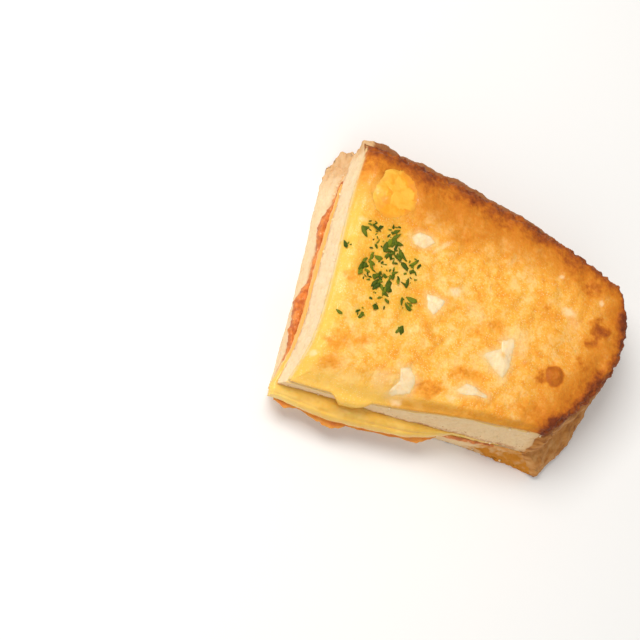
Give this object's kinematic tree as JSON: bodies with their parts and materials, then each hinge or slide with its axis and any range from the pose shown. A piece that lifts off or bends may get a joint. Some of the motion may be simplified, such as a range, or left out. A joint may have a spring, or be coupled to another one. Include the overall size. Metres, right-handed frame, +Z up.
{
  "type": "egg pizza toast",
  "caption": "Quarter of a baked toast sandwich with tomato sauce, melted cheese and a bubbly egg and cheese topping with parsley.",
  "frame": {"origin": "middle of the bounding box's underside, on the flat base of the lower slice", "axes": "+Z up through the layers, +X along the front cut towards the right crust, +Y towards the far crust"},
  "size_m": [0.087, 0.07, 0.0249],
  "materials": {
    "crumb": "dry, porous white bread with a baked crust",
    "sauce": "moist, grainy tomato sauce",
    "cheese": "soft melted cheese slice",
    "topping": "baked egg and cheese, browned at the rim, with parsley flakes",
    "egg_white": "cooked egg white, moist",
    "egg_yolk": "cooked egg yolk"
  },
  "bodies": {
    "root": {"bread_bottom": "crumb", "tomato_sauce": "sauce", "cheese_slice": "cheese", "bread_top": "crumb", "egg_cheese_topping": "topping", "egg_white_1": "egg_white", "egg_white_2": "egg_white", "egg_white_3": "egg_white", "egg_white_4": "egg_white", "egg_white_5": "egg_white", "egg_yolk": "egg_yolk"}
  },
  "joints": []
}
